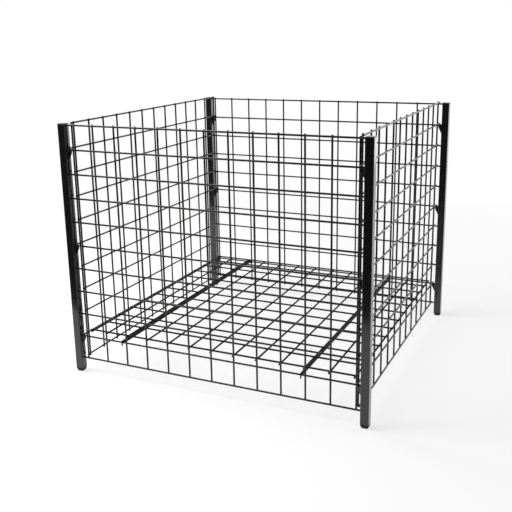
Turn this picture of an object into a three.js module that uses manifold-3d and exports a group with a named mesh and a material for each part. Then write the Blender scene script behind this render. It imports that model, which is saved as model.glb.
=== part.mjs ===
// Wire grid dump bin that knocks down flat: a welded frame at the front and one at the back, each a
// grid panel between two tube legs, two side panels hooked on to both frames, and a hook-on shelf.
// Millimetres, +Z up, front towards -Y, origin on the floor under the middle of the bin.
import * as THREE from 'three';
import { mergeVertices } from 'three/addons/utils/BufferGeometryUtils.js';
import Module from 'manifold-3d';

const wasm = await Module();
wasm.setup();

// Grid mesh: three inch squares of straight wire, welded where they cross
const cell = 76.2;
const cellsAcross = 12;
const cellsHigh = 10;
const wire = 5;
const weldBite = 0.4;
const uprightTip = 2;

// Side panels: some rails are longer and turned down at both ends to hook over the frames
const frontStep = 12;
const sideSlack = 0.7;
const sideRailTip = 8;
const hookSlack = 0.7;
const hookDrop = 10;
const hookFirstRow = 1;
const hookRowStep = 4;
const hookRows = 3;

// Legs: one inch square tube with a plug at the top and a glide at the floor
const tube = 25.4;
const tubeWall = 1.5;
const tubeCorner = 2.5;
const bottomRailHeight = 48;
const legAboveTopRail = 5.5;
const legStandOff = 16;
const plugGap = 0.5;
const plugDepth = 14;
const capThickness = 2.5;
const capChamfer = 0.8;
const glideHeight = 11;
const glideCollar = 4;
const glideSole = 16;
const glideShoulder = 22.6;

// Gussets: small plates on the legs that carry the front and back panels at the hook rows
const gussetPlate = 3;
const gussetReach = 13;
const gussetTipDepth = 5;
const gussetRootDepth = 32;
const gussetNames = ['upper', 'middle', 'lower'];

// Shelf: a wire mat on two flat bars, whose ends hook over the front and back panels
const shelfRowsUp = 1;
const shelfSideGap = 6.5;
const shelfSetback = 18;
const shelfWireTip = 7;
const barCellsIn = Math.round(cellsAcross / 6);
const barThickness = 3;
const barHeight = 12.7;
const barAboveRail = 8;
const barSlack = 0.5;
const barNub = 5;
const barNubDrop = 9;
const barChamfer = 3;
const barWeldGap = 0.1;

// Air left between pieces that rest on each other or meet at a weld
const restGap = 0.3;

// Colours and finishes: black powder coat on the steel, black plastic on plugs and glides
const coatColour = 0x141311;
const coatRoughness = 0.38;
const coatMetalness = 0.0;
const plasticColour = 0x191918;
const plasticRoughness = 0.55;
const plasticMetalness = 0.0;

// Sizes that follow from the ones above
const halfGrid = cell * cellsAcross / 2;
const gridHeight = cell * cellsHigh;
const wireCorners = wire * 2 / Math.sqrt(3);
const wireLayer = wire - weldBite;
const frontUprights = halfGrid + frontStep;
const frontRails = frontUprights + wireLayer;
const sideRails = halfGrid + wireCorners + sideSlack;
const sideUprights = sideRails - wireLayer;
const sideLift = wireCorners + restGap;
const topRailHeight = bottomRailHeight + gridHeight;
const legTop = topRailHeight + legAboveTopRail;
const legInside = halfGrid + legStandOff;
const legAcross = legInside + tube / 2;
const shelfRailHeight = bottomRailHeight + shelfRowsUp * cell;
const shelfHalfWidth = sideUprights - wire / 2 - shelfSideGap - wireCorners / 2;
const shelfHalfDepth = frontUprights - shelfSetback;
const shelfWireHeight = shelfRailHeight + barAboveRail + barWeldGap + wire / 2;

/** Makes a closed solid from a geometry by welding its vertices. */
function solidOf(geometry) {
  const bare = geometry.index ? geometry.toNonIndexed() : geometry.clone();
  bare.deleteAttribute('normal');
  bare.deleteAttribute('uv');
  const welded = mergeVertices(bare, 1e-4);
  const corners = welded.index.array;
  const triangles = [];
  for (let i = 0; i < corners.length; i += 3) {
    const [a, b, c] = [corners[i], corners[i + 1], corners[i + 2]];
    const isReal = a !== b && b !== c && c !== a;
    if (isReal) triangles.push(a, b, c);
  }
  const vertProperties = new Float32Array(welded.attributes.position.array);
  const triVerts = new Uint32Array(triangles);
  return new wasm.Manifold(new wasm.Mesh({ numProp: 3, vertProperties, triVerts }));
}

/** Turns a solid back into a geometry. */
function geometryOf(solid) {
  const mesh = solid.getMesh();
  const geometry = new THREE.BufferGeometry();
  geometry.setAttribute('position', new THREE.BufferAttribute(mesh.vertProperties, 3));
  geometry.setIndex(new THREE.BufferAttribute(mesh.triVerts, 1));
  geometry.computeVertexNormals();
  return geometry;
}

/** Names one piece and gives it its own black powder coat. */
function coated(name, geometry) {
  const material = new THREE.MeshStandardMaterial({
    color: coatColour,
    roughness: coatRoughness,
    metalness: coatMetalness,
  });
  const piece = new THREE.Mesh(geometry, material);
  piece.name = name;
  return piece;
}

/** Names one piece and gives it its own black plastic. */
function moulded(name, geometry) {
  const material = new THREE.MeshStandardMaterial({
    color: plasticColour,
    roughness: plasticRoughness,
    metalness: plasticMetalness,
  });
  const piece = new THREE.Mesh(geometry, material);
  piece.name = name;
  return piece;
}

/** A straight wire along Y from low to high at x and z, its flats facing up and down. */
function wireAlongY(x, low, high, z) {
  const rod = new THREE.CylinderGeometry(wireCorners / 2, wireCorners / 2, high - low, 6);
  rod.rotateY(Math.PI / 2);
  rod.translate(x, (low + high) / 2, z);
  return solidOf(rod);
}

/** A straight wire along X from low to high at y and z, its flats facing up and down. */
function wireAlongX(y, low, high, z) {
  const rod = new THREE.CylinderGeometry(wireCorners / 2, wireCorners / 2, high - low, 6);
  rod.rotateY(Math.PI / 2);
  rod.rotateZ(Math.PI / 2);
  rod.translate((low + high) / 2, y, z);
  return solidOf(rod);
}

/** The layer of wires along Y, all the same length, one at each place. */
function layerAlongY(places, reach) {
  return places.map((x) => wireAlongY(x, reach.low, reach.high, 0));
}

/** The layer of wires along X on top of it, all the same length, one at each place. */
function layerAlongX(places, half) {
  return places.map((y) => wireAlongX(y, -half, half, wireLayer));
}

/** Evenly spaced places, one cell apart, from a first place. */
function everyCell(first, count) {
  return Array.from({ length: count }, (_, i) => first + i * cell);
}

/** The uprights of a panel that lies on its inner side. */
function panelUprights() {
  const low = -uprightTip - wireCorners / 2;
  const high = gridHeight + uprightTip + wireCorners / 2;
  return layerAlongY(everyCell(-halfGrid, cellsAcross + 1), { low, high });
}

/** A lying panel's wires welded together and stood up at the front, its uprights in the given plane. */
function standingPanel(wires, plane) {
  const panel = geometryOf(wasm.Manifold.union(wires));
  panel.rotateX(Math.PI / 2);
  panel.translate(0, -plane, bottomRailHeight);
  return panel;
}

/** The panel between two legs, whose rails end at the legs. */
function framePanelGeometry() {
  const rails = layerAlongX(everyCell(0, cellsHigh + 1), legInside - restGap);
  return standingPanel([...panelUprights(), ...rails], frontUprights);
}

/** A longer rail of a lying side panel, turned down at both ends. */
function hookedRail(height) {
  const turn = frontRails + wireCorners / 2 + hookSlack + wireCorners / 2;
  const low = height - hookDrop;
  return [
    wireAlongX(height, -turn - wireCorners / 2, turn + wireCorners / 2, wireLayer),
    wireAlongY(-turn, low, height, wireLayer),
    wireAlongY(turn, low, height, wireLayer),
  ];
}

/** The heights of the hook rows above the bottom rail, from the top down. */
function hookHeights() {
  return Array.from({ length: hookRows }, (_, i) => gridHeight - (hookFirstRow + i * hookRowStep) * cell);
}

/** The panel that hooks over both frames, stood up at the front. */
function sidePanelGeometry() {
  const rails = layerAlongX(everyCell(0, cellsHigh + 1), halfGrid + sideRailTip);
  const hooked = hookHeights().flatMap(hookedRail);
  return standingPanel([...panelUprights(), ...rails, ...hooked], sideUprights);
}

/** The place of a lengthwise shelf wire, counted in squares from the mat's right edge. */
function shelfPlace(squares) {
  return shelfHalfWidth - squares * cell;
}

/** The shelf mat: wires from front to back below, wires across above. Full squares start at the front
 *  right corner, so the last ones at the left and at the back are cut short by the edge wires. */
function shelfGeometry() {
  const acrossCount = Math.floor(2 * shelfHalfWidth / cell) + 1;
  const alongCount = Math.floor(2 * shelfHalfDepth / cell) + 1;
  const across = [-shelfHalfWidth, ...everyCell(shelfPlace(acrossCount - 1), acrossCount)];
  const along = [...everyCell(-shelfHalfDepth, alongCount), shelfHalfDepth];
  const wireEnd = shelfHalfDepth + shelfWireTip;
  const lengthwise = layerAlongY(across, { low: -wireEnd, high: wireEnd });
  const crosswise = layerAlongX(along, shelfHalfWidth + shelfWireTip);
  const mat = geometryOf(wasm.Manifold.union([...lengthwise, ...crosswise]));
  mat.translate(0, 0, shelfWireHeight);
  return mat;
}

/** The outline of one end of a shelf bar, from its underside round the hook to its top. */
function barEnd(side) {
  const notchInside = frontRails - wire / 2 - barSlack;
  const notchOutside = frontRails + wire / 2 + barSlack;
  const outside = notchOutside + barNub;
  const notchTop = wireCorners / 2 + restGap;
  return [
    new THREE.Vector2(side * notchInside, barAboveRail - barHeight),
    new THREE.Vector2(side * notchInside, notchTop),
    new THREE.Vector2(side * notchOutside, notchTop),
    new THREE.Vector2(side * notchOutside, -barNubDrop),
    new THREE.Vector2(side * outside, -barNubDrop),
    new THREE.Vector2(side * outside, barAboveRail - barChamfer),
    new THREE.Vector2(side * (outside - barChamfer), barAboveRail),
  ];
}

/** A flat bar from front to back, standing on edge, with a hook at both ends. */
function barGeometry() {
  const outline = new THREE.Shape([...barEnd(1), ...barEnd(-1).reverse()]);
  const bar = new THREE.ExtrudeGeometry(outline, { depth: barThickness, bevelEnabled: false });
  bar.rotateX(Math.PI / 2);
  bar.rotateZ(Math.PI / 2);
  bar.translate(-barThickness / 2, 0, shelfRailHeight);
  return geometryOf(solidOf(bar));
}

/** A square outline with rounded corners, centred. */
function roundedSquare(side, corner) {
  const half = side / 2;
  const turn = half - corner;
  const outline = new THREE.Shape();
  outline.moveTo(half, -turn);
  outline.absarc(turn, turn, corner, 0, Math.PI / 2);
  outline.absarc(-turn, turn, corner, Math.PI / 2, Math.PI);
  outline.absarc(-turn, -turn, corner, Math.PI, Math.PI * 1.5);
  outline.absarc(turn, -turn, corner, Math.PI * 1.5, Math.PI * 2);
  return outline;
}

/** A square tube between the glide and the cap. */
function legGeometry() {
  const outline = roundedSquare(tube, tubeCorner);
  outline.holes.push(roundedSquare(tube - 2 * tubeWall, tubeCorner - tubeWall));
  const depth = legTop - capThickness - glideHeight;
  const leg = new THREE.ExtrudeGeometry(outline, { depth, bevelEnabled: false, curveSegments: 3 });
  leg.translate(0, 0, glideHeight);
  return geometryOf(solidOf(leg));
}

/** A square turned form from a profile of half widths and heights, listed from the bottom up. */
function squareForm(profile) {
  const points = profile.map(([half, height]) => new THREE.Vector2(half * Math.SQRT2, height));
  const form = new THREE.LatheGeometry(points, 4, Math.PI / 4);
  form.rotateX(Math.PI / 2);
  return geometryOf(solidOf(form));
}

/** The plug that closes the top of a leg. */
function capGeometry() {
  const stem = tube / 2 - tubeWall - plugGap;
  const under = legTop - capThickness;
  return squareForm([
    [0, under - plugDepth],
    [stem, under - plugDepth],
    [stem, under],
    [tube / 2, under],
    [tube / 2, legTop - capChamfer],
    [tube / 2 - capChamfer, legTop],
    [0, legTop],
  ]);
}

/** The glide that a leg stands on, tapered to a flat sole. */
function glideGeometry() {
  const stem = tube / 2 - tubeWall - plugGap;
  const collarFoot = glideHeight - glideCollar;
  return squareForm([
    [0, 0],
    [glideSole / 2, 0],
    [glideShoulder / 2, collarFoot / 2],
    [tube / 2, collarFoot],
    [tube / 2, glideHeight],
    [stem, glideHeight],
    [stem, glideHeight + plugDepth],
    [0, glideHeight + plugDepth],
  ]);
}

/** A gusset that points along X from a leg's middle, its top edge under a rail at height zero. */
function gussetGeometry() {
  const root = tube / 2 + restGap;
  const tip = tube / 2 + gussetReach;
  const top = -wireCorners / 2 - restGap;
  const outline = new THREE.Shape([
    new THREE.Vector2(root, top - gussetRootDepth),
    new THREE.Vector2(tip, top - gussetTipDepth),
    new THREE.Vector2(tip, top),
    new THREE.Vector2(root, top),
  ]);
  const plate = new THREE.ExtrudeGeometry(outline, { depth: gussetPlate, bevelEnabled: false });
  plate.rotateX(Math.PI / 2);
  plate.translate(0, gussetPlate / 2, 0);
  return geometryOf(solidOf(plate));
}

/** Adds one leg with its cap, glide and gussets at a corner; the signs say which corner. */
function addCorner(bin, corner, signX, signY) {
  const towardsMiddle = Math.atan2(0, -signX);
  const pieces = [
    coated(`leg_${corner}`, legGeometry()),
    moulded(`cap_${corner}`, capGeometry()),
    moulded(`glide_${corner}`, glideGeometry()),
  ];
  hookHeights().forEach((height, i) => {
    const gusset = coated(`gusset_${corner}_${gussetNames[i]}`, gussetGeometry());
    gusset.rotation.z = towardsMiddle;
    gusset.position.z = bottomRailHeight + height;
    pieces.push(gusset);
  });
  for (const piece of pieces) {
    piece.position.x = signX * legAcross;
    piece.position.y = signY * frontRails;
    bin.add(piece);
  }
}

/** Adds one panel, turned from the front to its own side and lifted. */
function addPanel(bin, side, geometry, turn, lift) {
  const panel = coated(`panel_${side}`, geometry);
  panel.rotation.z = turn;
  panel.position.z = lift;
  bin.add(panel);
}

const bin = new THREE.Group();
bin.name = 'dump_bin';

addCorner(bin, 'front_left', -1, -1);
addCorner(bin, 'front_right', 1, -1);
addCorner(bin, 'back_left', -1, 1);
addCorner(bin, 'back_right', 1, 1);

// The hooked rails of the side panels lie on the rails of the front and back panels
addPanel(bin, 'front', framePanelGeometry(), 0, 0);
addPanel(bin, 'back', framePanelGeometry(), Math.PI, 0);
addPanel(bin, 'left', sidePanelGeometry(), -Math.PI / 2, sideLift);
addPanel(bin, 'right', sidePanelGeometry(), Math.PI / 2, sideLift);

bin.add(coated('shelf_mat', shelfGeometry()));
for (const [side, squares] of [['left', cellsAcross - barCellsIn], ['right', barCellsIn]]) {
  const bar = coated(`shelf_bar_${side}`, barGeometry());
  bar.position.x = shelfPlace(squares);
  bin.add(bar);
}

export default bin;
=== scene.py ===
"""Looks of a wire-grid dump bin: welded round wire, tube legs on glides, gussets and a hook-on shelf.

Lengths are in metres and lamp powers in watts, with +X to the right, +Y to the back and +Z up.
"""

import logging
import math
from dataclasses import dataclass, field
from enum import Enum
from functools import cached_property

import bmesh
import bpy
from bpy.types import ID, Material, Mesh, NodeSocket, NodeTree, Object
from mathutils import Matrix, Vector


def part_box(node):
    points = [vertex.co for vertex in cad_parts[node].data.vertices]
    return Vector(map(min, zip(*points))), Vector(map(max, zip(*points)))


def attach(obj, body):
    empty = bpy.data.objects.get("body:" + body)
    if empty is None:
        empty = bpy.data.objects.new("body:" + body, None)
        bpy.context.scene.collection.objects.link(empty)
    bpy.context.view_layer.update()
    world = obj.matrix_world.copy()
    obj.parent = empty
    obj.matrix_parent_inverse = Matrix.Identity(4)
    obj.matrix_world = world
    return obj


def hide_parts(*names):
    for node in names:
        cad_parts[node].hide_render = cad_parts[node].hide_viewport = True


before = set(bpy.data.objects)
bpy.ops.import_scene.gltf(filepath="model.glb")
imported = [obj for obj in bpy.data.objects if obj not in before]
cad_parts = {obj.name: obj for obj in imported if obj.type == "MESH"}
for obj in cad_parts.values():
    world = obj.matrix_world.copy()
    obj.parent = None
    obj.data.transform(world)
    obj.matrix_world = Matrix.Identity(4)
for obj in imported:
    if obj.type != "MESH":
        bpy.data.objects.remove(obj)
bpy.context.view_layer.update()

log = logging.getLogger("dump_bin")

Colour = tuple[float, float, float, float]
Path = list[Vector]

WHITE: Colour = (1.0, 1.0, 1.0, 1.0)
QUAD_CORNERS = 4
CORNER_STEPS = 8
MERGE_DISTANCE = 1e-6
FLAT_ANGLE = math.radians(1)
ROUNDED_ANGLE = math.radians(25)
ROUNDED_STEPS = 3
SHARP_ANGLE = math.radians(35)


class Slot(Enum):
    """Material slots of the record."""

    POWDER_COAT = "powder_coat"
    BLACK_PLASTIC = "black_plastic"


class Body(Enum):
    """Bodies of the frame that move on their own."""

    FRAME = "frame"
    LEFT_PANEL = "left_panel"
    RIGHT_PANEL = "right_panel"
    SHELF = "shelf"


class Corner(Enum):
    """Corners of the bin, as its nodes name them."""

    FRONT_LEFT = "front_left"
    FRONT_RIGHT = "front_right"
    BACK_LEFT = "back_left"
    BACK_RIGHT = "back_right"


class Tier(Enum):
    """Heights at which a leg carries a gusset."""

    UPPER = "upper"
    MIDDLE = "middle"
    LOWER = "lower"


class Side(Enum):
    """Sides of the bin, as its nodes name them."""

    FRONT = "front"
    BACK = "back"
    LEFT = "left"
    RIGHT = "right"

    @property
    def out_axis(self) -> int:
        """Index of the axis that points out of the bin on this side."""
        return 1 if self in (Side.FRONT, Side.BACK) else 0

    @property
    def out_sign(self) -> float:
        """Direction along that axis that leads out of the bin."""
        return 1.0 if self in (Side.BACK, Side.RIGHT) else -1.0


class Value:
    """A value in a node tree, whose arithmetic adds math nodes to its sheet."""

    def __init__(self, sheet: "NodeSheet", socket: NodeSocket) -> None:
        """Holds a socket of a sheet."""
        self.sheet = sheet
        self.socket = socket

    def __add__(self, other: "Value | float") -> "Value":
        """Sum with a value on the right."""
        return self.sheet.math("ADD", self, other)

    def __radd__(self, other: float) -> "Value":
        """Sum with a number on the left."""
        return self.sheet.math("ADD", other, self)

    def __sub__(self, other: "Value | float") -> "Value":
        """Difference with a value on the right."""
        return self.sheet.math("SUBTRACT", self, other)

    def __rsub__(self, other: float) -> "Value":
        """Difference with a number on the left."""
        return self.sheet.math("SUBTRACT", other, self)

    def __mul__(self, other: "Value | float") -> "Value":
        """Product with a value on the right."""
        return self.sheet.math("MULTIPLY", self, other)

    def __rmul__(self, other: float) -> "Value":
        """Product with a number on the left."""
        return self.sheet.math("MULTIPLY", other, self)

    def held(self) -> "Value":
        """The value kept between 0 and 1."""
        return self.sheet.math("ADD", self, 0.0, clamp=True)


class NodeSheet:
    """Node tree that is filled node by node."""

    def __init__(self, tree: NodeTree) -> None:
        """Empties a tree and takes it over."""
        self.tree = tree
        self.tree.nodes.clear()

    def node(self, kind: str, output: str = "", settings: dict | None = None,
             sockets: dict | None = None) -> Value | None:
        """Adds a node.

        Args:
            kind: Type of the node.
            output: Name of the output that is wanted; the first one if empty.
            settings: Properties of the node, set before its sockets.
            sockets: Values or links of its inputs, by name or, where names repeat, by number;
                a list links several to one input.

        Returns:
            The wanted output, or None from a node that has no outputs.
        """
        node = self.tree.nodes.new(kind)
        for name, value in (settings or {}).items():
            setattr(node, name, value)
        for key, value in (sockets or {}).items():
            socket = next(entry for number, entry in enumerate(node.inputs)
                          if entry.enabled and key in (number, entry.name))
            for item in value if isinstance(value, list) else [value]:
                if isinstance(item, Value):
                    self.tree.links.new(item.socket, socket)
                else:
                    socket.default_value = item
        outputs = [entry for entry in node.outputs if entry.enabled and output in ("", entry.name)]
        return Value(self, outputs[0]) if outputs else None

    def math(self, operation: str, first: Value | float, second: Value | float,
             clamp: bool = False) -> Value:
        """Adds a math node of two values.

        Args:
            operation: Operation of the node.
            first: Left value.
            second: Right value.
            clamp: Whether the result is kept between 0 and 1.

        Returns:
            The result.
        """
        return self.node("ShaderNodeMath", "Value", {"operation": operation, "use_clamp": clamp},
                         {0: first, 1: second})


class ShaderSheet(NodeSheet):
    """Node tree of one material or of the world."""

    def noise(self, place: Value, scale: float, detail: float) -> Value:
        """Noise over a place, between about 0.3 and 0.7."""
        return self.node("ShaderNodeTexNoise", "Fac", None,
                         {"Vector": place, "Scale": scale, "Detail": detail})

    def mixed(self, factor: Value, low: Value | Colour, high: Value | Colour) -> Value:
        """Colour between two colours."""
        return self.node("ShaderNodeMix", "Result", {"data_type": "RGBA"},
                         {"Factor": factor, "A": low, "B": high})

    def blended(self, factor: Value, first: Value, second: Value) -> Value:
        """Shader between two shaders."""
        return self.node("ShaderNodeMixShader", "Shader", None, {0: factor, 1: first, 2: second})

    def axis(self, vector: Value, name: str) -> Value:
        """One axis of a vector, by its letter."""
        return self.node("ShaderNodeSeparateXYZ", name, None, {"Vector": vector})

    def background_rays(self) -> Value:
        """Tells the rays that look at the background directly, in gloss or through glass.

        Returns:
            1 on those rays, else 0.
        """
        camera = self.node("ShaderNodeLightPath", "Is Camera Ray")
        glossy = self.node("ShaderNodeLightPath", "Is Glossy Ray")
        through = self.node("ShaderNodeLightPath", "Is Transmission Ray")
        return (camera + glossy + through).held()


class GeometrySheet(NodeSheet):
    """Geometry node tree with named inputs."""

    def __init__(self, name: str, inputs: dict[str, str]) -> None:
        """Makes a tree and its inputs.

        Args:
            name: Name of the tree.
            inputs: Kinds of its inputs besides the geometry, by their names.
        """
        super().__init__(bpy.data.node_groups.new(name, "GeometryNodeTree"))
        face = self.tree.interface
        face.new_socket(name="Geometry", in_out="INPUT", socket_type="NodeSocketGeometry")
        for label, kind in inputs.items():
            face.new_socket(name=label, in_out="INPUT", socket_type=kind)
        face.new_socket(name="Geometry", in_out="OUTPUT", socket_type="NodeSocketGeometry")
        self.entry = self.tree.nodes.new("NodeGroupInput")

    def given(self, label: str) -> Value:
        """Value of a named input."""
        return Value(self, self.entry.outputs[label])

    def scaled(self, vector: Value, factor: Value) -> Value:
        """A vector times a number."""
        return self.node("ShaderNodeVectorMath", "Vector", {"operation": "SCALE"},
                         {"Vector": vector, "Scale": factor})

    def ball(self, segments: Value | int, rings: int, radius: Value | float = 1.0) -> Value:
        """A smooth ball of few faces.

        Args:
            segments: Steps round it.
            rings: Steps from pole to pole.
            radius: Its radius.

        Returns:
            The ball.
        """
        ball = self.node("GeometryNodeMeshUVSphere", "Mesh", None,
                         {"Segments": segments, "Rings": rings, "Radius": radius})
        return self.node("GeometryNodeSetShadeSmooth", "Geometry", None,
                         {"Geometry": ball, "Shade Smooth": True})

    def varied(self, least: float, most: float, seed: Value) -> Value:
        """A number of its own for each point."""
        return self.node("FunctionNodeRandomValue", "Value", {"data_type": "FLOAT"},
                         {"Min": least, "Max": most, "Seed": seed})

    def finish(self, shape: Value) -> NodeTree:
        """Ends the tree with plain geometry in its material.

        Args:
            shape: Geometry to hand out.

        Returns:
            The finished tree.
        """
        plain = self.node("GeometryNodeRealizeInstances", "Geometry", None, {"Geometry": shape})
        coated = self.node("GeometryNodeSetMaterial", "Geometry", None,
                           {"Geometry": plain, "Material": self.given("Material")})
        self.node("NodeGroupOutput", "", None, {"Geometry": coated})
        return self.tree


@dataclass(frozen=True)
class Finish:
    """Look of a surface, made as a material of its own."""

    name: str

    def shader(self, sheet: ShaderSheet) -> Value:
        """Shader of the surface, which each finish makes in its own way."""
        raise NotImplementedError

    def material(self) -> Material:
        """Makes the finish.

        Returns:
            A new material.
        """
        material = bpy.data.materials.new(self.name)
        material.use_nodes = True
        sheet = ShaderSheet(material.node_tree)
        sheet.node("ShaderNodeOutputMaterial", "", None, {"Surface": self.shader(sheet)})
        return material


@dataclass(frozen=True)
class PowderCoat(Finish):
    """Semi-gloss black powder coat on steel: orange peel, dust on top, chips near the floor."""

    name: str = "tube_powder_coat"
    colour: Colour = (0.0070, 0.0067, 0.0064, 1.0)
    dust_colour: Colour = (0.200, 0.190, 0.175, 1.0)
    steel_colour: Colour = (0.260, 0.255, 0.250, 1.0)
    roughness: float = 0.18
    roughness_spread: float = 0.10
    dust_roughness: float = 0.25
    gloss: float = 0.2
    gloss_layer: float = 1.0
    gloss_roughness: float = 0.12
    peel_scale: float = 520.0
    peel_detail: float = 2.0
    peel_depth: float = 0.00003
    patch_scale: float = 9.0
    patch_detail: float = 4.0
    dust_contrast: float = 2.0
    dust_level: float = 0.4
    dust_share: float = 0.06
    chip_scale: float = 310.0
    chip_detail: float = 5.0
    chip_level: float = 0.66
    chip_contrast: float = 16.0
    chip_share: float = 0.015
    chip_dent: float = 0.8
    scuffed_height: float = 0.14

    def shader(self, sheet: ShaderSheet) -> Value:
        """Makes the shader.

        Args:
            sheet: Sheet of the finish's material.

        Returns:
            The shader.
        """
        place = sheet.node("ShaderNodeTexCoord", "Object")
        normal = sheet.node("ShaderNodeNewGeometry", "Normal")
        peel = sheet.noise(place, self.peel_scale, self.peel_detail)
        patches = sheet.noise(place, self.patch_scale, self.patch_detail)
        facing_up = sheet.axis(normal, "Z").held()
        dusty = patches * self.dust_contrast - self.dust_level
        dust = (facing_up * dusty).held() * self.dust_share
        near_floor = (1.0 - sheet.axis(place, "Z") * (1.0 / self.scuffed_height)).held()
        specks = sheet.noise(place, self.chip_scale, self.chip_detail)
        chips = ((specks - self.chip_level) * self.chip_contrast).held()
        bare = (chips * (near_floor + self.chip_share)).held()
        dusted = sheet.mixed(dust, self.colour, self.dust_colour)
        colour = sheet.mixed(bare, dusted, self.steel_colour)
        roughness = self.roughness + patches * self.roughness_spread + dust * self.dust_roughness
        bump = sheet.node("ShaderNodeBump", "Normal", None,
                          {"Distance": self.peel_depth, "Height": peel - bare * self.chip_dent})
        return sheet.node("ShaderNodeBsdfPrincipled", "BSDF", None,
                          {"Base Color": colour, "Roughness": roughness, "Normal": bump,
                           "Specular IOR Level": self.gloss, "Coat Weight": self.gloss_layer,
                           "Coat Roughness": self.gloss_roughness})


@dataclass(frozen=True)
class MouldedPlastic(Finish):
    """Black moulded plastic: a fine grain, worn matt and grey where it rubs on the floor."""

    name: str = "foot_plastic"
    colour: Colour = (0.0080, 0.0080, 0.0078, 1.0)
    worn_colour: Colour = (0.060, 0.058, 0.055, 1.0)
    roughness: float = 0.50
    gloss: float = 0.25
    roughness_spread: float = 0.12
    grain_scale: float = 1900.0
    grain_detail: float = 1.0
    grain_depth: float = 0.00003
    patch_scale: float = 60.0
    patch_detail: float = 4.0
    worn_height: float = 0.006
    worn_contrast: float = 1.6
    worn_level: float = 0.3
    worn_roughness: float = 0.2

    def shader(self, sheet: ShaderSheet) -> Value:
        """Makes the shader.

        Args:
            sheet: Sheet of the finish's material.

        Returns:
            The shader.
        """
        place = sheet.node("ShaderNodeTexCoord", "Object")
        grain = sheet.noise(place, self.grain_scale, self.grain_detail)
        patches = sheet.noise(place, self.patch_scale, self.patch_detail)
        low = (1.0 - sheet.axis(place, "Z") * (1.0 / self.worn_height)).held()
        worn = (low * (patches * self.worn_contrast - self.worn_level)).held()
        colour = sheet.mixed(worn, self.colour, self.worn_colour)
        roughness = self.roughness + patches * self.roughness_spread + worn * self.worn_roughness
        bump = sheet.node("ShaderNodeBump", "Normal", None,
                          {"Distance": self.grain_depth, "Height": grain})
        return sheet.node("ShaderNodeBsdfPrincipled", "BSDF", None,
                          {"Base Color": colour, "Roughness": roughness, "Normal": bump,
                           "Specular IOR Level": self.gloss})


@dataclass(frozen=True)
class StudioWhite(Finish):
    """White of the floor: lit and shadowed round the bin, one with the background further out."""

    name: str = "studio_white"
    colour: Colour = (0.80, 0.80, 0.80, 1.0)
    white_strength: float = 1.0
    inner_share: float = 0.70
    lit_reach: float = 1.1
    blend_length: float = 1.6

    def shader(self, sheet: ShaderSheet) -> Value:
        """Makes the shader.

        Args:
            sheet: Sheet of the finish's material.

        Returns:
            The shader.
        """
        place = sheet.node("ShaderNodeTexCoord", "Object")
        distance = sheet.node("ShaderNodeVectorMath", "Value", {"operation": "LENGTH"},
                              {"Vector": place})
        outer = ((distance - self.lit_reach) * (1.0 / self.blend_length)).held()
        share = self.inner_share + outer * (1.0 - self.inner_share)
        lit = sheet.node("ShaderNodeBsdfDiffuse", "BSDF", None, {"Color": self.colour})
        plain = sheet.node("ShaderNodeEmission", "Emission", None,
                           {"Color": WHITE, "Strength": self.white_strength})
        return sheet.blended(share * sheet.background_rays(), lit, plain)


@dataclass(frozen=True)
class CardBlack(Finish):
    """Dull black of the cards that keep the light surround out of some faces."""

    name: str = "card_black"
    colour: Colour = (0.01, 0.01, 0.01, 1.0)

    def shader(self, sheet: ShaderSheet) -> Value:
        """Makes the shader."""
        return sheet.node("ShaderNodeBsdfDiffuse", "BSDF", None, {"Color": self.colour})


def placed(data: ID) -> Object:
    """Puts a mesh, a lamp or a camera in the scene as an object of the same name.

    Args:
        data: What the object holds.

    Returns:
        The object.
    """
    piece = bpy.data.objects.new(data.name, data)
    bpy.context.scene.collection.objects.link(piece)
    return piece


def grown(tree: NodeTree, name: str, paths: list[Path], spots: Path, values: dict) -> Mesh:
    """Runs a geometry tree over paths and spots.

    Args:
        tree: Tree to run.
        name: Name of the mesh.
        paths: Lines of points that become edges.
        spots: Points that stand alone.
        values: The tree's inputs by name.

    Returns:
        A plain mesh of the result.
    """
    points: Path = []
    edges: list[tuple[int, int]] = []
    for path in paths:
        first = len(points)
        points.extend(path)
        edges.extend((first + step, first + step + 1) for step in range(len(path) - 1))
    points.extend(spots)
    base = bpy.data.meshes.new(f"{name}_lines")
    base.from_pydata(points, edges, [])
    holder = placed(base)
    modifier = holder.modifiers.new(name, "NODES")
    modifier.node_group = tree
    keys = {item.name: item.identifier for item in tree.interface.items_tree if item.in_out == "INPUT"}
    for label, value in values.items():
        modifier[keys[label]] = value
    return settled(holder, name)


def settled(holder: Object, name: str) -> Mesh:
    """Turns an object with modifiers into a plain mesh and clears the object away.

    Args:
        holder: Object that carries the modifiers.
        name: Name of the new mesh.

    Returns:
        The new mesh.
    """
    graph = bpy.context.evaluated_depsgraph_get()
    mesh = bpy.data.meshes.new_from_object(holder.evaluated_get(graph), depsgraph=graph)
    mesh.name = name
    base = holder.data
    bpy.data.objects.remove(holder)
    bpy.data.meshes.remove(base)
    return mesh


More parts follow.
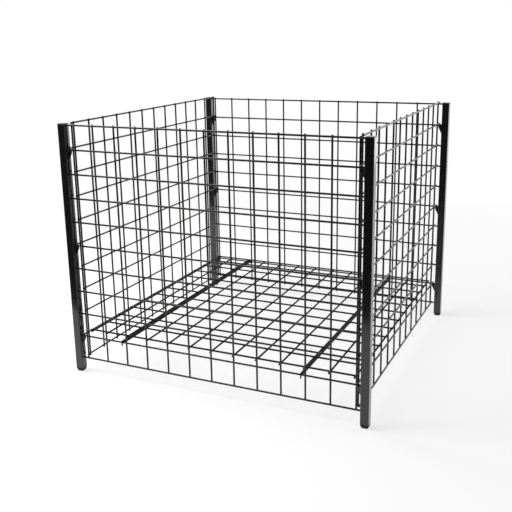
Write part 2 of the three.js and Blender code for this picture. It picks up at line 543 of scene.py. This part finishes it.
@dataclass(frozen=True)
class WireStock:
    """Round wire as thick as the solids' six-sided rods from corner to corner, bent and spot-welded."""

    diameter: float = 0.00575
    rod_flats: float = 0.005
    rod_corners: float = 0.00577
    bend_radius: float = 0.0045
    bend_steps: int = 6
    sides: int = 14
    cut_crown: float = 0.0009
    crown_rings: int = 4
    weld_sides: int = 10
    weld_rings: int = 4
    weld_width: float = 0.0072
    weld_height: float = 0.0046
    weld_least: float = 0.90
    weld_most: float = 1.10
    seed: int = 7

    @cached_property
    def tree(self) -> NodeTree:
        """Makes the tree that turns lines into wires and lone points into welds.

        Returns:
            The tree.
        """
        sheet = GeometrySheet("welded_wire", {
            "Wire Radius": "NodeSocketFloat", "Bend Radius": "NodeSocketFloat",
            "Bend Steps": "NodeSocketInt", "Sides": "NodeSocketInt", "Cut Shape": "NodeSocketVector",
            "Weld Shape": "NodeSocketVector", "Layer Direction": "NodeSocketVector",
            "Seed": "NodeSocketInt", "Material": "NodeSocketMaterial"})
        lines = sheet.given("Geometry")
        curve = sheet.node("GeometryNodeMeshToCurve", "Curve", None, {"Mesh": lines})
        bent = sheet.node("GeometryNodeFilletCurve", "Curve", {"mode": "POLY"},
                          {"Curve": curve, "Count": sheet.given("Bend Steps"),
                           "Radius": sheet.given("Bend Radius"), "Limit Radius": True})
        section = sheet.node("GeometryNodeCurvePrimitiveCircle", "Curve", {"mode": "RADIUS"},
                             {"Resolution": sheet.given("Sides"), "Radius": sheet.given("Wire Radius")})
        rods = sheet.node("GeometryNodeCurveToMesh", "Mesh", None,
                          {"Curve": bent, "Profile Curve": section, "Fill Caps": True})
        corners = sheet.node("GeometryNodeInputMeshFaceNeighbors", "Vertex Count")
        is_cut = sheet.node("FunctionNodeCompare", "Result",
                            {"data_type": "INT", "operation": "GREATER_THAN"},
                            {"A": corners, "B": QUAD_CORNERS})
        rods = sheet.node("GeometryNodeSetShadeSmooth", "Geometry", None,
                          {"Geometry": rods, "Selection": is_cut, "Shade Smooth": False})
        ends = sheet.node("GeometryNodeCurveEndpointSelection", "Selection", None,
                          {"Start Size": 1, "End Size": 1})
        tangent = sheet.node("GeometryNodeInputTangent", "Tangent")
        along = sheet.node("FunctionNodeAlignRotationToVector", "Rotation", {"axis": "Z"},
                           {"Vector": tangent})
        crown = sheet.ball(sheet.given("Sides"), self.crown_rings)
        crowns = sheet.node("GeometryNodeInstanceOnPoints", "Instances", None,
                            {"Points": bent, "Selection": ends, "Instance": crown, "Rotation": along,
                             "Scale": sheet.given("Cut Shape")})
        neighbours = sheet.node("GeometryNodeInputMeshVertexNeighbors", "Vertex Count")
        alone = sheet.node("FunctionNodeCompare", "Result",
                           {"data_type": "INT", "operation": "EQUAL"}, {"A": neighbours, "B": 0})
        spots = sheet.node("GeometryNodeMeshToPoints", "Points", {"mode": "VERTICES"},
                           {"Mesh": lines, "Selection": alone})
        across = sheet.node("FunctionNodeAlignRotationToVector", "Rotation", {"axis": "Z"},
                            {"Vector": sheet.given("Layer Direction")})
        share = sheet.varied(self.weld_least, self.weld_most, sheet.given("Seed"))
        size = sheet.scaled(sheet.given("Weld Shape"), share)
        nugget = sheet.ball(self.weld_sides, self.weld_rings)
        nuggets = sheet.node("GeometryNodeInstanceOnPoints", "Instances", None,
                             {"Points": spots, "Instance": nugget, "Rotation": across, "Scale": size})
        return sheet.finish(sheet.node("GeometryNodeJoinGeometry", "Geometry", None,
                                       {"Geometry": [rods, crowns, nuggets]}))

    def woven(self, name: str, paths: list[Path], welds: Path, layer: Vector, material: Material) -> Mesh:
        """Makes the wires of one piece.

        Args:
            name: Name of the mesh.
            paths: Centre lines of the wires.
            welds: Places where wires are welded.
            layer: Direction from one layer of wires to the other.
            material: Finish of the wires.

        Returns:
            The mesh.
        """
        radius = self.diameter / 2
        return grown(self.tree, name, paths, welds, {
            "Wire Radius": radius, "Bend Radius": self.bend_radius, "Bend Steps": self.bend_steps,
            "Sides": self.sides, "Cut Shape": (radius, radius, self.cut_crown),
            "Weld Shape": (self.weld_width / 2, self.weld_width / 2, self.weld_height / 2),
            "Layer Direction": layer, "Seed": self.seed, "Material": material})


@dataclass(frozen=True)
class WeldBead:
    """Rippled bead of arc weld under the coat."""

    radius: float = 0.0012
    step: float = 0.0011
    ripple_sides: int = 8
    ripple_rings: int = 4
    ripple_least: float = 0.85
    ripple_most: float = 1.15
    seed: int = 11

    @cached_property
    def tree(self) -> NodeTree:
        """Makes the tree that lays ripples along lines.

        Returns:
            The tree.
        """
        sheet = GeometrySheet("weld_bead", {
            "Ripple Radius": "NodeSocketFloat", "Ripple Step": "NodeSocketFloat",
            "Seed": "NodeSocketInt", "Material": "NodeSocketMaterial"})
        curve = sheet.node("GeometryNodeMeshToCurve", "Curve", None, {"Mesh": sheet.given("Geometry")})
        places = sheet.node("GeometryNodeResampleCurve", "Curve", {"mode": "LENGTH"},
                            {"Curve": curve, "Length": sheet.given("Ripple Step")})
        ripple = sheet.ball(self.ripple_sides, self.ripple_rings, sheet.given("Ripple Radius"))
        size = sheet.varied(self.ripple_least, self.ripple_most, sheet.given("Seed"))
        ripples = sheet.node("GeometryNodeInstanceOnPoints", "Instances", None,
                             {"Points": places, "Instance": ripple, "Scale": size})
        return sheet.finish(ripples)

    def laid(self, name: str, paths: list[Path], material: Material) -> Mesh:
        """Lays beads along lines.

        Args:
            name: Name of the mesh.
            paths: Lines to follow.
            material: Finish of the beads.

        Returns:
            The mesh.
        """
        return grown(self.tree, name, paths, [], {
            "Ripple Radius": self.radius, "Ripple Step": self.step, "Seed": self.seed,
            "Material": material})


@dataclass(frozen=True)
class Workshop:
    """Stock and finishes that every piece shares."""

    tube_coat: Material
    wire_coat: Material
    shelf_coat: Material
    plug_plastic: Material
    foot_plastic: Material
    wire: WireStock
    bead: WeldBead

    @classmethod
    def fitted_out(cls) -> "Workshop":
        """Makes the shared stock and finishes.

        Returns:
            The workshop.
        """
        wire_coat = PowderCoat(name="wire_powder_coat", gloss=0.4, gloss_layer=0.0)
        shelf_coat = PowderCoat(name="shelf_powder_coat", roughness=0.55, gloss=0.12, gloss_layer=0.0)
        plug_plastic = MouldedPlastic(name="plug_plastic", roughness=0.18, gloss=0.5)
        return cls(tube_coat=PowderCoat().material(), wire_coat=wire_coat.material(),
                   shelf_coat=shelf_coat.material(), plug_plastic=plug_plastic.material(),
                   foot_plastic=MouldedPlastic().material(), wire=WireStock(), bead=WeldBead())


def entered(mesh: Mesh, body: Body, slot: Slot, *nodes: str) -> Object:
    """Enters a finished mesh in the frame.

    Args:
        mesh: Mesh of the piece, in its finish.
        body: Body that it rides on.
        slot: Its material slot; not used.
        nodes: CAD nodes that it stands for.

    Returns:
        The piece.
    """
    piece = placed(mesh)
    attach(piece, body.value)
    if nodes:
        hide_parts(*nodes)
    return piece


def rounded_square(centre: Vector, half: float, corner: float, height: float) -> Path:
    """Ring of points round a square with rounded corners.

    Args:
        centre: Middle of the square.
        half: Half its width.
        corner: Radius of its corners.
        height: Height of the ring.

    Returns:
        The points, anticlockwise.
    """
    ring: Path = []
    inset = (half - corner) * math.sqrt(2)
    for quarter in range(4):
        diagonal = math.radians(45 + 90 * quarter)
        x = centre.x + inset * math.cos(diagonal)
        y = centre.y + inset * math.sin(diagonal)
        for step in range(CORNER_STEPS + 1):
            turn = math.radians(90 * (quarter + step / CORNER_STEPS))
            ring.append(Vector((x + corner * math.cos(turn), y + corner * math.sin(turn), height)))
    return ring


def lofted(name: str, rings: list[Path], is_tube: bool) -> Mesh:
    """Skins rings of equally many points.

    Args:
        name: Name of the mesh.
        rings: Rings in order.
        is_tube: Whether the last ring joins the first; else both ends are filled.

    Returns:
        The mesh.
    """
    shape = bmesh.new()
    rows = [[shape.verts.new(point) for point in ring] for ring in rings]
    following = rows[1:] + rows[:1] if is_tube else rows[1:]
    for lower, upper in zip(rows, following):
        for spot in range(len(lower)):
            after = (spot + 1) % len(lower)
            shape.faces.new((lower[spot], lower[after], upper[after], upper[spot]))
    if not is_tube:
        shape.faces.new(rows[0][::-1])
        shape.faces.new(rows[-1])
    bmesh.ops.recalc_face_normals(shape, faces=shape.faces)
    mesh = bpy.data.meshes.new(name)
    shape.to_mesh(mesh)
    shape.free()
    mesh.set_sharp_from_angle(angle=SHARP_ANGLE)
    return mesh


def softened(node: str, name: str, edge: float) -> Mesh:
    """Copy of a CAD node's mesh with its edges rounded.

    Args:
        node: CAD node to copy.
        name: Name of the new mesh.
        edge: Width of the rounding.

    Returns:
        The mesh.
    """
    shape = bmesh.new()
    shape.from_mesh(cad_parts[node].data)
    bmesh.ops.remove_doubles(shape, verts=shape.verts, dist=MERGE_DISTANCE)
    bmesh.ops.dissolve_limit(shape, angle_limit=FLAT_ANGLE, verts=shape.verts, edges=shape.edges)
    blank = bpy.data.meshes.new(f"{name}_blank")
    shape.to_mesh(blank)
    shape.free()
    blank.materials.clear()
    holder = placed(blank)
    bevel = holder.modifiers.new("edges", "BEVEL")
    bevel.width = edge
    bevel.segments = ROUNDED_STEPS
    bevel.limit_method = "ANGLE"
    bevel.angle_limit = ROUNDED_ANGLE
    mesh = settled(holder, name)
    mesh.set_sharp_from_angle(angle=SHARP_ANGLE)
    return mesh


@dataclass
class FramePanel:
    """Upright panel of welded grid: straight rails outside, uprights inside."""

    side: Side
    shop: Workshop
    body: Body = Body.FRAME
    cell: float = 0.0762
    cells_across: int = 12
    cells_high: int = 10

    def __post_init__(self) -> None:
        """Reads the panel's planes and ends from the frame."""
        self.node = f"panel_{self.side.value}"
        self.low, self.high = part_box(self.node)
        out = self.side.out_axis
        sign = self.side.out_sign
        half_rod = self.shop.wire.rod_flats / 2
        outer, inner = (self.high, self.low) if sign > 0 else (self.low, self.high)
        self.rail_plane = outer[out] - sign * half_rod
        self.upright_plane = inner[out] + sign * half_rod
        self.crown = self.shop.wire.cut_crown

    def build(self) -> Object:
        """Makes the panel and dresses it."""
        return self.dress(self.grid())

    def grid(self) -> Mesh:
        """Makes the panel's wires and their welds.

        Returns:
            The mesh.
        """
        wires = self.rails() + self.uprights()
        layer = self.spot(0.0, 1.0, 0.0)
        return self.shop.wire.woven(f"grid_{self.side.value}", wires, self.welds(), layer,
                                    self.shop.wire_coat)

    def dress(self, mesh: Mesh) -> Object:
        """Enters the coated grid in the frame."""
        return entered(mesh, self.body, Slot.POWDER_COAT, self.node)

    def spot(self, along: float, out: float, up: float) -> Vector:
        """Point at a place along the panel, out of the bin and up."""
        return Vector((along, out, up)) if self.side.out_axis == 1 else Vector((out, along, up))

    def rows(self) -> list[float]:
        """Heights of the rails, from the lowest."""
        middle = (self.low.z + self.high.z) / 2
        return [middle + (row - self.cells_high / 2) * self.cell for row in range(self.cells_high + 1)]

    def columns(self) -> list[float]:
        """Places of the uprights along the panel."""
        return [(column - self.cells_across / 2) * self.cell for column in range(self.cells_across + 1)]

    def rails(self) -> list[Path]:
        """Centre lines of the rails."""
        reach = self.high[1 - self.side.out_axis] - self.crown
        return [[self.spot(-reach, self.rail_plane, row), self.spot(reach, self.rail_plane, row)]
                for row in self.rows()]

    def uprights(self) -> list[Path]:
        """Centre lines of the uprights."""
        bottom, top = self.low.z + self.crown, self.high.z - self.crown
        return [[self.spot(column, self.upright_plane, bottom), self.spot(column, self.upright_plane, top)]
                for column in self.columns()]

    def welds(self) -> Path:
        """Places where rails cross uprights."""
        between = (self.rail_plane + self.upright_plane) / 2
        return [self.spot(column, between, row) for row in self.rows() for column in self.columns()]


@dataclass
class SidePanel(FramePanel):
    """Upright panel whose rails end short, but for those that reach out and turn down as hooks."""

    rail_tip: float = 0.008
    hook_drop: float = 0.010
    first_hook: int = 1
    hook_step: int = 4

    def rails(self) -> list[Path]:
        """Centre lines of the rails, with the hooks' turns.

        Returns:
            The lines, from the lowest rail.
        """
        short = self.cells_across / 2 * self.cell + self.rail_tip - self.crown
        turn = self.high.y - self.shop.wire.rod_corners / 2
        lines: list[Path] = []
        for number, row in enumerate(self.rows()):
            tip = row - self.hook_drop + self.crown
            hooked = [(-turn, tip), (-turn, row), (turn, row), (turn, tip)]
            straight = [(-short, row), (short, row)]
            stops = hooked if number % self.hook_step == self.first_hook else straight
            lines.append([self.spot(along, self.rail_plane, up) for along, up in stops])
        return lines


@dataclass
class ShelfMat:
    """Mat of the shelf: lengthwise wires below, crosswise above, squares from the front right corner."""

    shop: Workshop
    node: str = "shelf_mat"
    cell: float = 0.0762
    full_rows: int = 12
    wire_tip: float = 0.007

    def __post_init__(self) -> None:
        """Reads the mat's edges and layers from the frame."""
        self.low, self.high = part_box(self.node)
        half_rod = self.shop.wire.rod_flats / 2
        self.lower_layer = self.low.z + half_rod
        self.upper_layer = self.high.z - half_rod

    def build(self) -> Object:
        """Makes the mat and dresses it."""
        return self.dress(self.grid())

    def grid(self) -> Mesh:
        """Makes the mat's wires and their welds.

        Returns:
            The mesh.
        """
        crown = self.shop.wire.cut_crown
        long_ends = (self.low.y + crown, self.high.y - crown)
        cross_ends = (self.low.x + crown, self.high.x - crown)
        across, deep = self.lengthwise(), self.crosswise()
        wires = [[Vector((x, end, self.lower_layer)) for end in long_ends] for x in across]
        wires += [[Vector((end, y, self.upper_layer)) for end in cross_ends] for y in deep]
        between = (self.lower_layer + self.upper_layer) / 2
        welds = [Vector((x, y, between)) for x in across for y in deep]
        return self.shop.wire.woven("shelf_wires", wires, welds, Vector((0, 0, 1)), self.shop.shelf_coat)

    def dress(self, mesh: Mesh) -> Object:
        """Enters the coated mat in the frame."""
        return entered(mesh, Body.SHELF, Slot.POWDER_COAT, self.node)

    def lengthwise(self) -> list[float]:
        """Places of the lengthwise wires, from the right edge to the left."""
        right = self.high.x - self.wire_tip
        return [right - step * self.cell for step in range(self.full_rows)] + [-right]

    def crosswise(self) -> list[float]:
        """Places of the crosswise wires, from the front edge to the back."""
        front = self.low.y + self.wire_tip
        return [front + step * self.cell for step in range(self.full_rows)] + [-front]


@dataclass
class ShelfBar:
    """Flat bar under the mat, its ends hooked over the front and back panels."""

    side: Side
    mat: ShelfMat
    shop: Workshop
    edge: float = 0.0006
    weld_length: float = 0.008

    @property
    def node(self) -> str:
        """CAD node that the bar stands for."""
        return f"shelf_bar_{self.side.value}"

    def build(self) -> Object:
        """Makes the bar with softened edges and dresses it."""
        return self.dress(softened(self.node, f"hook_bar_{self.side.value}", self.edge))

    def dress(self, mesh: Mesh) -> Object:
        """Coats the bar and enters it in the frame."""
        mesh.materials.append(self.shop.shelf_coat)
        return entered(mesh, Body.SHELF, Slot.POWDER_COAT, self.node)

    def weld_lines(self) -> list[Path]:
        """Lines of the short welds that hold the bar under its wire.

        Returns:
            Two lines, one on each face of the bar, under every crosswise wire but the edge ones.
        """
        low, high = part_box(self.node)
        lines: list[Path] = []
        for place in self.mat.crosswise()[1:-1]:
            for face in (low.x, high.x):
                lines.append([Vector((face, place - self.weld_length / 2, high.z)),
                              Vector((face, place + self.weld_length / 2, high.z))])
        return lines


@dataclass
class TubeLeg:
    """Leg of square tube with a plug on top and a glide below."""

    corner: Corner
    shop: Workshop
    wall: float = 0.0015
    tube_corner: float = 0.0025
    cut_edge: float = 0.0004
    stem_gap: float = 0.0005
    arc_steps: int = 8
    plug_edge: float = 0.0008
    plug_crown: float = 0.0001
    plug_dome: tuple[tuple[float, float], ...] = ((0.5, 0.25), (0.2, 0.0))
    plug_roundness: float = 0.4
    glide_collar: float = 0.004
    glide_sole: float = 0.016
    glide_shoulder: float = 0.0226
    glide_roundness: float = 0.35

    def __post_init__(self) -> None:
        """Reads the leg's place and length from the frame."""
        self.node = f"leg_{self.corner.value}"
        self.low, self.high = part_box(self.node)
        self.centre = (self.low + self.high) / 2
        self.half = (self.high.x - self.low.x) / 2
        self.stem = self.half - self.wall - self.stem_gap

    def build(self) -> list[Object]:
        """Makes the tube, its plug and its glide and dresses them.

        Returns:
            The three pieces.
        """
        plug_node, glide_node = f"cap_{self.corner.value}", f"glide_{self.corner.value}"
        plug, glide = self.plug(*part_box(plug_node)), self.glide(*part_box(glide_node))
        return [self.dress(self.tube(), self.shop.tube_coat, Slot.POWDER_COAT, self.node),
                self.dress(plug, self.shop.plug_plastic, Slot.BLACK_PLASTIC, plug_node),
                self.dress(glide, self.shop.foot_plastic, Slot.BLACK_PLASTIC, glide_node)]

    def dress(self, mesh: Mesh, finish: Material, slot: Slot, node: str) -> Object:
        """Gives one of the leg's pieces its finish and enters it in the frame.

        Args:
            mesh: Mesh of the piece.
            finish: Its finish.
            slot: Its material slot.
            node: CAD node that it stands for.

        Returns:
            The piece.
        """
        mesh.materials.append(finish)
        return entered(mesh, Body.FRAME, slot, node)

    def arc(self) -> list[float]:
        """Angles of the steps round a quarter circle."""
        return [math.radians(90 * step / self.arc_steps) for step in range(self.arc_steps + 1)]

    def tube(self) -> Mesh:
        """Makes the tube, its cut ends eased.

        Returns:
            The mesh.
        """
        inner = self.half - self.wall
        inner_corner = self.tube_corner - self.wall
        bottom, top = self.low.z, self.high.z
        eased = self.half - self.cut_edge
        outline = [(inner, inner_corner, bottom), (eased, self.tube_corner, bottom),
                   (self.half, self.tube_corner, bottom + self.cut_edge),
                   (self.half, self.tube_corner, top - self.cut_edge),
                   (eased, self.tube_corner, top), (inner, inner_corner, top)]
        rings = [rounded_square(self.centre, half, corner, height) for half, corner, height in outline]
        return lofted(f"tube_{self.corner.value}", rings, True)

    def plug(self, low: Vector, high: Vector) -> Mesh:
        """Makes the plug: a stem in the tube and a softly crowned head.

        Args:
            low: Low corner of the plug's box.
            high: High corner of the plug's box.

        Returns:
            The mesh.
        """
        outline = [(self.stem, low.z), (self.stem, self.high.z), (self.half, self.high.z)]
        rim = high.z - self.plug_crown - self.plug_edge
        rim_half = self.half - self.plug_edge
        outline += [(rim_half + self.plug_edge * math.cos(turn), rim + self.plug_edge * math.sin(turn))
                    for turn in self.arc()]
        outline += [(self.half * share, high.z - self.plug_crown * drop) for share, drop in self.plug_dome]
        rings = [rounded_square(self.centre, half, min(self.tube_corner, half * self.plug_roundness),
                                height) for half, height in outline]
        return lofted(f"plug_{self.corner.value}", rings, False)

    def glide(self, low: Vector, high: Vector) -> Mesh:
        """Makes the glide: a collar under the tube, rounded in to a flat sole.

        Args:
            low: Low corner of the glide's box.
            high: High corner of the glide's box.

        Returns:
            The mesh.
        """
        waist = self.low.z - self.glide_collar
        sole, shoulder = self.glide_sole / 2, self.glide_shoulder / 2
        outline = [(sole + (shoulder - sole) * math.sin(turn), low.z + waist * (1 - math.cos(turn)))
                   for turn in self.arc()]
        outline += [(self.half - self.cut_edge, waist), (self.half, waist + self.cut_edge),
                    (self.half, self.low.z), (self.stem, self.low.z), (self.stem, high.z)]
        rings = [rounded_square(self.centre, half, half * self.glide_roundness, height)
                 for half, height in outline]
        return lofted(f"foot_{self.corner.value}", rings, False)


@dataclass
class Gusset:
    """Small plate with a sloped lower edge, welded to a leg under a rail."""

    corner: Corner
    tier: Tier
    shop: Workshop
    edge: float = 0.0005
    weld_inset: float = 0.001

    @property
    def place(self) -> str:
        """Corner and height of the plate, as names give them."""
        return f"{self.corner.value}_{self.tier.value}"

    @property
    def node(self) -> str:
        """CAD node that the plate stands for."""
        return f"gusset_{self.place}"

    def build(self) -> Object:
        """Makes the plate with softened edges and dresses it."""
        return self.dress(softened(self.node, f"plate_{self.place}", self.edge))

    def dress(self, mesh: Mesh) -> Object:
        """Coats the plate and enters it in the frame."""
        mesh.materials.append(self.shop.tube_coat)
        return entered(mesh, Body.FRAME, Slot.POWDER_COAT, self.node)

    def weld_lines(self) -> list[Path]:
        """Lines of the welds along the leg and along the rail above.

        Returns:
            An upright and a level line on each face of the plate.
        """
        low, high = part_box(self.node)
        inset = self.weld_inset
        leg_face = high.x if abs(high.x) > abs(low.x) else low.x
        lines: list[Path] = []
        for face in (low.y, high.y):
            lines.append([Vector((leg_face, face, low.z + inset)), Vector((leg_face, face, high.z))])
            lines.append([Vector((low.x + inset, face, high.z)), Vector((high.x - inset, face, high.z))])
        return lines


@dataclass
class FrameWelds:
    """Arc welds that join rails and gussets to the legs of one frame."""

    panel: FramePanel
    gussets: list[Gusset]
    shop: Workshop
    ring_radius: float = 0.0024
    ring_steps: int = 10

    def build(self) -> Object:
        """Lays the frame's beads and dresses them."""
        return self.dress(self.beads())

    def beads(self) -> Mesh:
        """Lays beads round the rails' ends and along the gussets.

        Returns:
            The mesh.
        """
        lines = self.rail_rings()
        for gusset in self.gussets:
            lines += gusset.weld_lines()
        return self.shop.bead.laid(f"welds_{self.panel.side.value}", lines, self.shop.tube_coat)

    def dress(self, mesh: Mesh) -> Object:
        """Enters the coated beads in the frame."""
        return entered(mesh, Body.FRAME, Slot.POWDER_COAT)

    def rail_rings(self) -> list[Path]:
        """Rings round the ends of the rails.

        Returns:
            The rings, two for each rail.
        """
        turns = [math.radians(360 * step / self.ring_steps) for step in range(self.ring_steps + 1)]
        rings: list[Path] = []
        for row in self.panel.rows():
            for end in (self.panel.low.x, self.panel.high.x):
                rings.append([Vector((end, self.panel.rail_plane + self.ring_radius * math.cos(turn),
                                      row + self.ring_radius * math.sin(turn))) for turn in turns])
        return rings


@dataclass
class ShelfWelds:
    """Short welds between the shelf's bars and its mat."""

    bars: list[ShelfBar]
    shop: Workshop

    def build(self) -> Object:
        """Lays the shelf's beads and dresses them."""
        return self.dress(self.beads())

    def beads(self) -> Mesh:
        """Lays beads along the bars' top edges.

        Returns:
            The mesh.
        """
        lines = [line for bar in self.bars for line in bar.weld_lines()]
        return self.shop.bead.laid("welds_shelf", lines, self.shop.shelf_coat)

    def dress(self, mesh: Mesh) -> Object:
        """Enters the coated beads in the frame."""
        return entered(mesh, Body.SHELF, Slot.POWDER_COAT)


@dataclass(frozen=True)
class SoftBox:
    """Large square lamp that gives even light."""

    name: str
    place: tuple[float, float, float]
    width: float
    height: float
    power: float
    aim: tuple[float, float, float] = (0.0, 0.0, 0.4)

    def build(self) -> Object:
        """Hangs the lamp.

        Returns:
            The lamp.
        """
        data = bpy.data.lights.new(self.name, "AREA")
        data.shape = "RECTANGLE"
        data.size = self.width
        data.size_y = self.height
        data.energy = self.power
        lamp = placed(data)
        lamp.location = self.place
        lamp.visible_camera = False
        direction = Vector(self.aim) - Vector(self.place)
        lamp.rotation_euler = direction.to_track_quat("-Z", "Y").to_euler()
        return lamp


@dataclass(frozen=True)
class BlackCard:
    """Folded card that stands on the floor and is seen in gloss alone."""

    name: str
    foot: tuple[tuple[float, float], ...]
    height: float = 4.0

    def build(self) -> Object:
        """Stands the card up.

        Returns:
            The card.
        """
        mesh = bpy.data.meshes.new(self.name)
        folds = len(self.foot)
        points = [(x, y, z) for z in (0.0, self.height) for x, y in self.foot]
        leaves = [(fold, fold + 1, folds + fold + 1, folds + fold) for fold in range(folds - 1)]
        mesh.from_pydata(points, [], leaves)
        mesh.materials.append(CardBlack().material())
        card = placed(mesh)
        card.visible_camera = False
        card.visible_diffuse = False
        card.visible_shadow = False
        card.visible_transmission = False
        return card


@dataclass(frozen=True)
class PhotoCamera:
    """Camera fitted to the photograph, in metres, degrees and pixels of its square picture."""

    place: tuple[float, float, float] = (1.041, -2.358, 1.081)
    turned: float = 25.07
    looking_down: float = 14.23
    roll: float = -0.99
    focal_pixels: float = 768.2
    picture: float = 512.0
    centre_down: float = 225.0
    sensor: float = 36.0

    def build(self) -> Object:
        """Sets up the camera.

        Returns:
            The camera.
        """
        data = bpy.data.cameras.new("photo_camera")
        data.sensor_width = self.sensor
        data.lens = self.focal_pixels / self.picture * self.sensor
        data.shift_y = (self.centre_down - self.picture / 2) / self.picture
        turn, down = math.radians(self.turned), math.radians(self.looking_down)
        roll = math.radians(self.roll)
        ahead = Vector((-math.sin(turn) * math.cos(down), math.cos(turn) * math.cos(down),
                        -math.sin(down)))
        level = ahead.cross(Vector((0, 0, 1))).normalized()
        above = level.cross(ahead)
        right = level * math.cos(roll) + above * math.sin(roll)
        up = above * math.cos(roll) - level * math.sin(roll)
        stand = Matrix((right, up, -ahead)).transposed().to_4x4()
        stand.translation = Vector(self.place)
        camera = placed(data)
        camera.matrix_world = stand
        bpy.context.scene.camera = camera
        return camera


@dataclass
class Studio:
    """White floor, soft lamps and an even white surround."""

    floor_half: float = 30.0
    floor_drop: float = 0.0002
    surround_light: float = 0.30
    surround_white: float = 1.0
    cards: list[BlackCard] = field(default_factory=lambda: [
        BlackCard("front_card", ((2.0, -1.66), (-3.2, -0.41), (-3.2, 1.8))),
        BlackCard("back_right_card", ((1.65, 2.0), (4.0, 2.0)))])
    lamps: list[SoftBox] = field(default_factory=lambda: [
        SoftBox("back_right_box", (2.3, 2.6, 1.05), 2.8, 2.0, 26.0),
        SoftBox("upper_left_box", (-1.7, -0.6, 2.3), 2.2, 2.2, 150.0, (0.0, 0.0, 0.2))])

    def build(self) -> None:
        """Sets the stage, its light and the camera."""
        self.floor()
        self.surround()
        for prop in (*self.cards, *self.lamps):
            prop.build()
        PhotoCamera().build()
        bpy.context.scene.view_settings.view_transform = "Standard"

    def floor(self) -> None:
        """Lays the floor."""
        reach = self.floor_half
        mesh = bpy.data.meshes.new("studio_floor")
        corners = [(-reach, -reach), (reach, -reach), (reach, reach), (-reach, reach)]
        mesh.from_pydata([(x, y, -self.floor_drop) for x, y in corners], [], [(0, 1, 2, 3)])
        mesh.materials.append(StudioWhite().material())
        placed(mesh)

    def surround(self) -> None:
        """Makes the world: white to look at, a plain level as light."""
        world = bpy.data.worlds.new("studio_surround")
        world.use_nodes = True
        bpy.context.scene.world = world
        sheet = ShaderSheet(world.node_tree)
        light, seen = (sheet.node("ShaderNodeBackground", "", None, {"Color": WHITE, "Strength": strength})
                       for strength in (self.surround_light, self.surround_white))
        shader = sheet.blended(sheet.background_rays(), light, seen)
        sheet.node("ShaderNodeOutputWorld", "", None, {"Surface": shader})


def report(*pieces: Object) -> None:
    """Logs pieces with the number of their faces."""
    for piece in pieces:
        log.info("%s: %d faces", piece.name, len(piece.data.polygons))


def main() -> None:
    """Builds the bin and its stage."""
    logging.basicConfig(level=logging.INFO, format="%(name)s %(message)s")
    shop = Workshop.fitted_out()
    for side, corners in ((Side.FRONT, (Corner.FRONT_LEFT, Corner.FRONT_RIGHT)),
                          (Side.BACK, (Corner.BACK_LEFT, Corner.BACK_RIGHT))):
        panel = FramePanel(side, shop)
        gussets = [Gusset(corner, tier, shop) for corner in corners for tier in Tier]
        report(panel.build())
        for corner in corners:
            report(*TubeLeg(corner, shop).build())
        for gusset in gussets:
            report(gusset.build())
        report(FrameWelds(panel, gussets, shop).build())
    for side, body in ((Side.LEFT, Body.LEFT_PANEL), (Side.RIGHT, Body.RIGHT_PANEL)):
        report(SidePanel(side, shop, body).build())
    mat = ShelfMat(shop)
    bars = [ShelfBar(side, mat, shop) for side in (Side.LEFT, Side.RIGHT)]
    report(mat.build())
    for bar in bars:
        report(bar.build())
    report(ShelfWelds(bars, shop).build())
    Studio().build()


if __name__ == "__main__":
    main()
